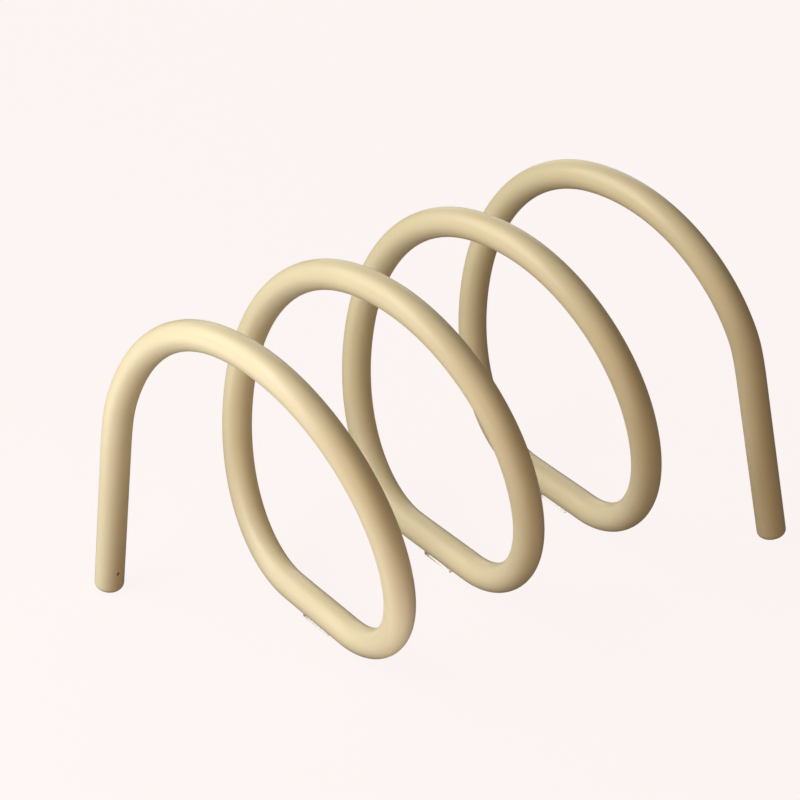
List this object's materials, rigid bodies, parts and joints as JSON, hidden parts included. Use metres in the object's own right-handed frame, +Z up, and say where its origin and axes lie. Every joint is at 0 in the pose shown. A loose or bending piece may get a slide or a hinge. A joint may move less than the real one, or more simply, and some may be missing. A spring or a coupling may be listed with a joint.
{
  "type": "coiled tube rack",
  "caption": "Free-standing rack of one round cream tube coiled into four upright arches, with slots between them for books and magazines.",
  "frame": {"origin": "on the floor, under the middle of the rack", "axes": "+X along the row of arches, +Y to the side of the left leg, +Z up"},
  "size_m": [0.4308, 0.312, 0.2706],
  "materials": {
    "cream_powder_coat": "satin powder coat",
    "bare_steel": "bare mild steel, inside the tube",
    "clear_glide": "clear glossy polymer"
  },
  "bodies": {
    "root": {"left_end_arch": "cream_powder_coat", "left_inner_arch": "cream_powder_coat", "right_inner_arch": "cream_powder_coat", "right_end_arch": "cream_powder_coat", "left_floor_loop": "cream_powder_coat", "middle_floor_loop": "cream_powder_coat", "right_floor_loop": "cream_powder_coat", "left_leg_plug": "cream_powder_coat", "right_leg_plug": "cream_powder_coat", "joint_sleeve_1": "bare_steel", "joint_sleeve_2": "bare_steel", "joint_sleeve_3": "bare_steel", "joint_sleeve_4": "bare_steel", "joint_sleeve_5": "bare_steel", "joint_sleeve_6": "bare_steel", "left_loop_glide": "clear_glide", "middle_loop_glide": "clear_glide", "right_loop_glide": "clear_glide"}
  },
  "joints": []
}
